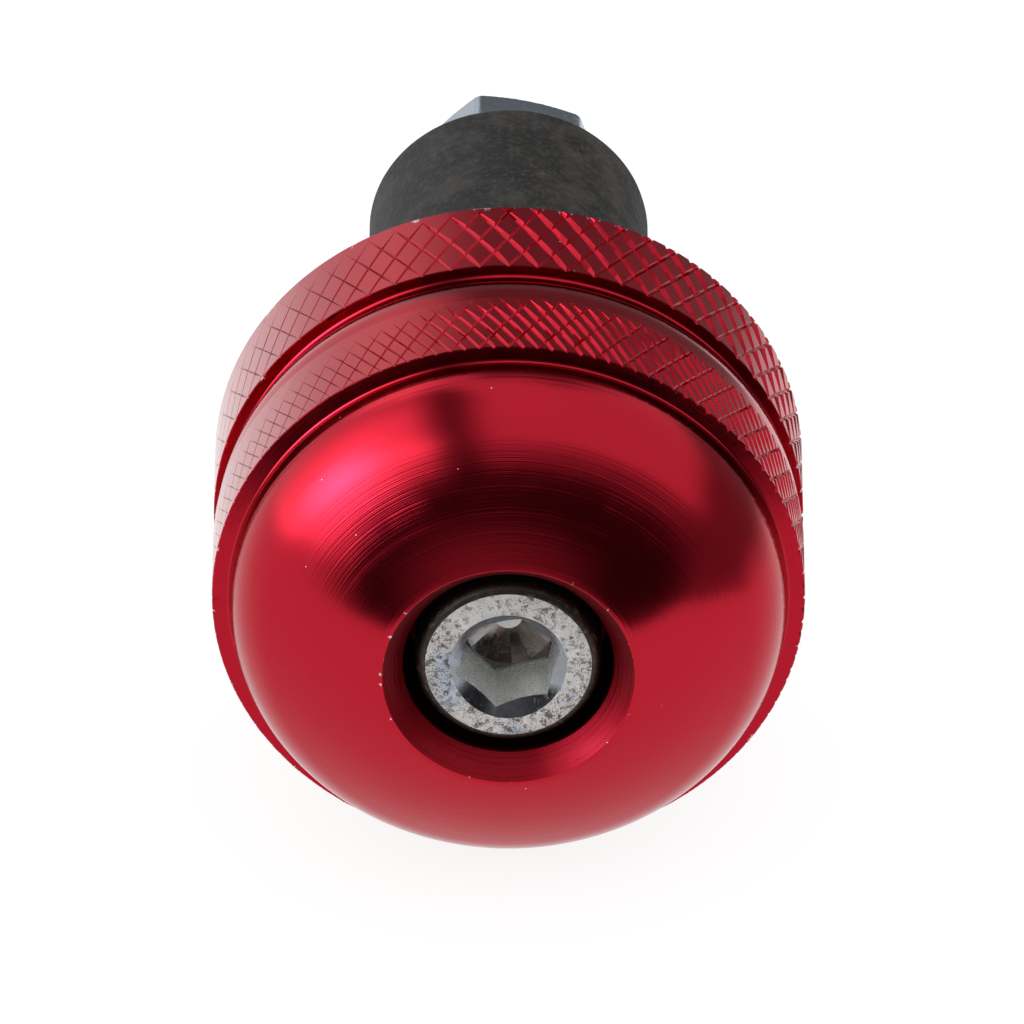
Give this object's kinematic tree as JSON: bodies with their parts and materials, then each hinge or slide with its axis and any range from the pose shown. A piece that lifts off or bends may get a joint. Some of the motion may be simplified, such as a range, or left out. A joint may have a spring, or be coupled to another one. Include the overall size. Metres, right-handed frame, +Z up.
{
  "type": "bar end weight",
  "caption": "Turned anodised handlebar end weight with a domed nose and two diamond-knurled bands, held by a socket cap screw that draws a nut against a rubber expanding sleeve",
  "frame": {"origin": "middle of the weight's flat rear face, on the common axis, where the weight butts against the end of the bar", "axes": "+Y runs along the axis from the dome into the handlebar, +Z is up and +X is to the right as seen from the dome's side"},
  "size_m": [0.032, 0.0522, 0.032],
  "materials": {
    "weight_body": "turned and knurled, red anodised, glossy",
    "socket_screw": "zinc plated, lightly scratched",
    "rubber_sleeve": "moulded black rubber, dusty",
    "hex_nut": "zinc plated"
  },
  "bodies": {
    "root": {"weight_body": "weight_body", "socket_screw": "socket_screw", "rubber_sleeve": "rubber_sleeve", "hex_nut": "hex_nut"}
  },
  "joints": []
}
